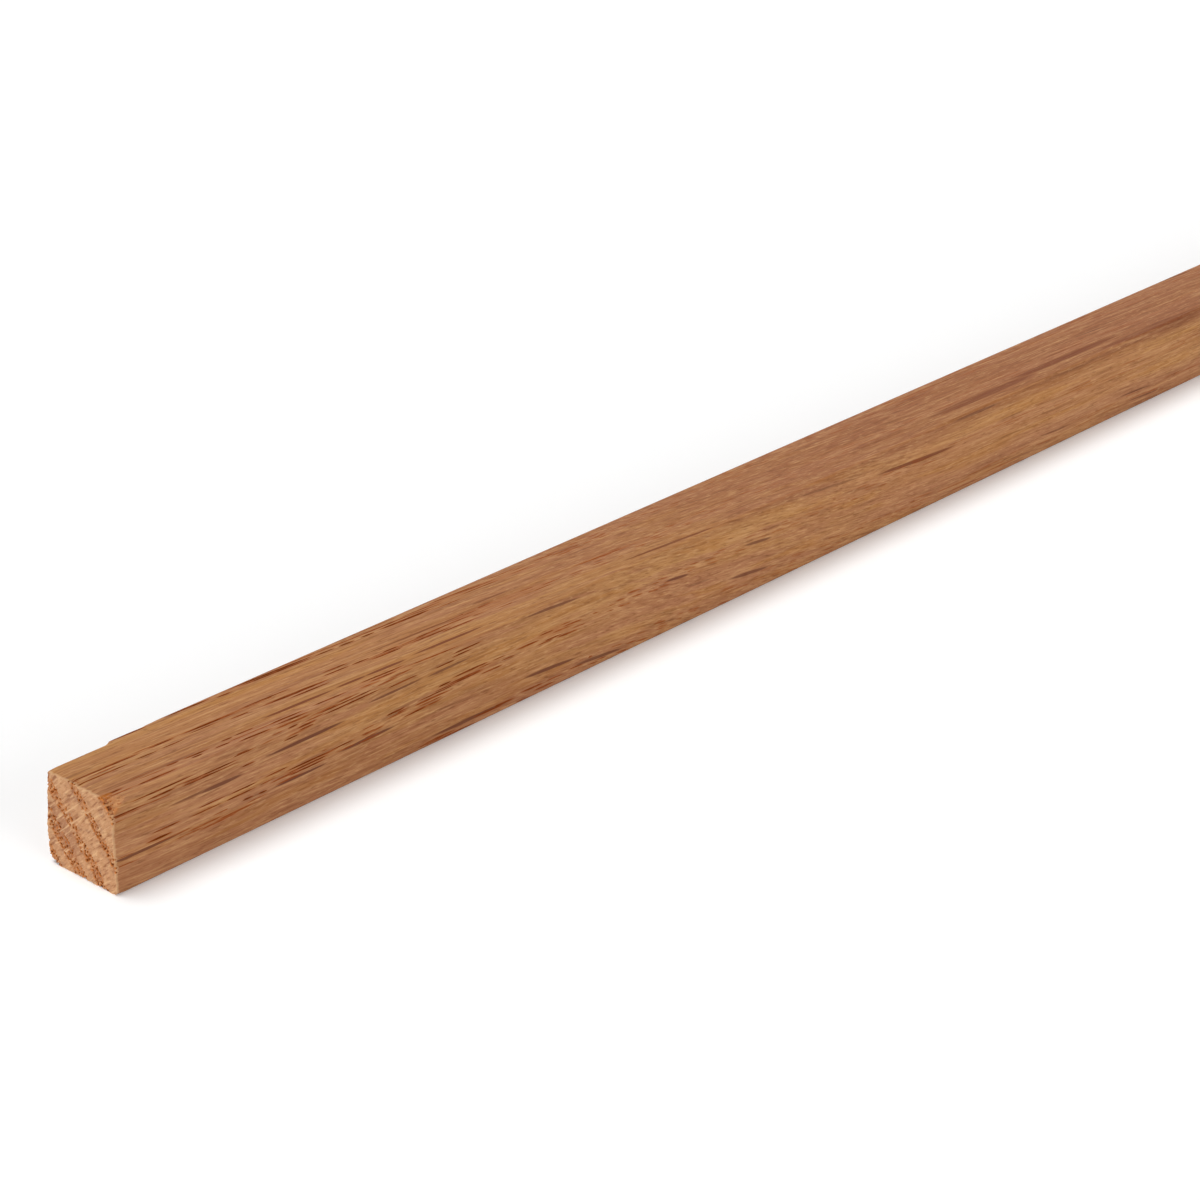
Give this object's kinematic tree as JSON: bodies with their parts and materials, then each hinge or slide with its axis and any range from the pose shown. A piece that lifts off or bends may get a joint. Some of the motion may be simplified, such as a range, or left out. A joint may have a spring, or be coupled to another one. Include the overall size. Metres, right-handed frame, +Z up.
{
  "type": "square wood dowel",
  "caption": "Straight stick of red oak with a square section and sawn ends, one of them splintered.",
  "frame": {"origin": "centre of the underside, halfway along the stick", "axes": "+X along the stick, away from the splintered end; +Z up; the splintered long edge is at +Y"},
  "size_m": [0.9144, 0.0126, 0.0127],
  "materials": {
    "red_oak": "planed bare red oak, matt, with open pores"
  },
  "bodies": {
    "root": {"square_dowel": "red_oak"}
  },
  "joints": []
}
